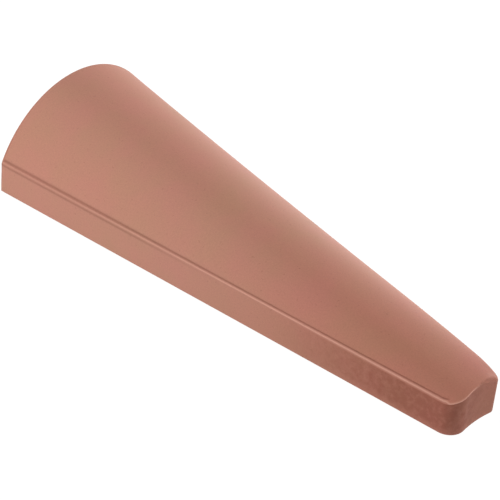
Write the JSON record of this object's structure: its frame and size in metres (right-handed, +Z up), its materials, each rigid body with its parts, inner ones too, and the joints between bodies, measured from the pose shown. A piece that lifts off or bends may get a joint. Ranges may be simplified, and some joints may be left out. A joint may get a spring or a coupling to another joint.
{
  "type": "door wedge",
  "caption": "Solid tapered wedge like half of a flattened cone: flat underside, upright sides and ends, and an arched top that falls from the wide end to the narrow end.",
  "frame": {"origin": "on the flat underside, at the centre of the bounding box", "axes": "+Z up from the underside, +Y from the narrow end to the wide end, -X out of the straight near side"},
  "size_m": [0.0584, 0.1524, 0.0272],
  "materials": {
    "body": "matte pinkish brown with a fine speckle"
  },
  "bodies": {
    "root": {"wedge_body": "body"}
  },
  "joints": []
}
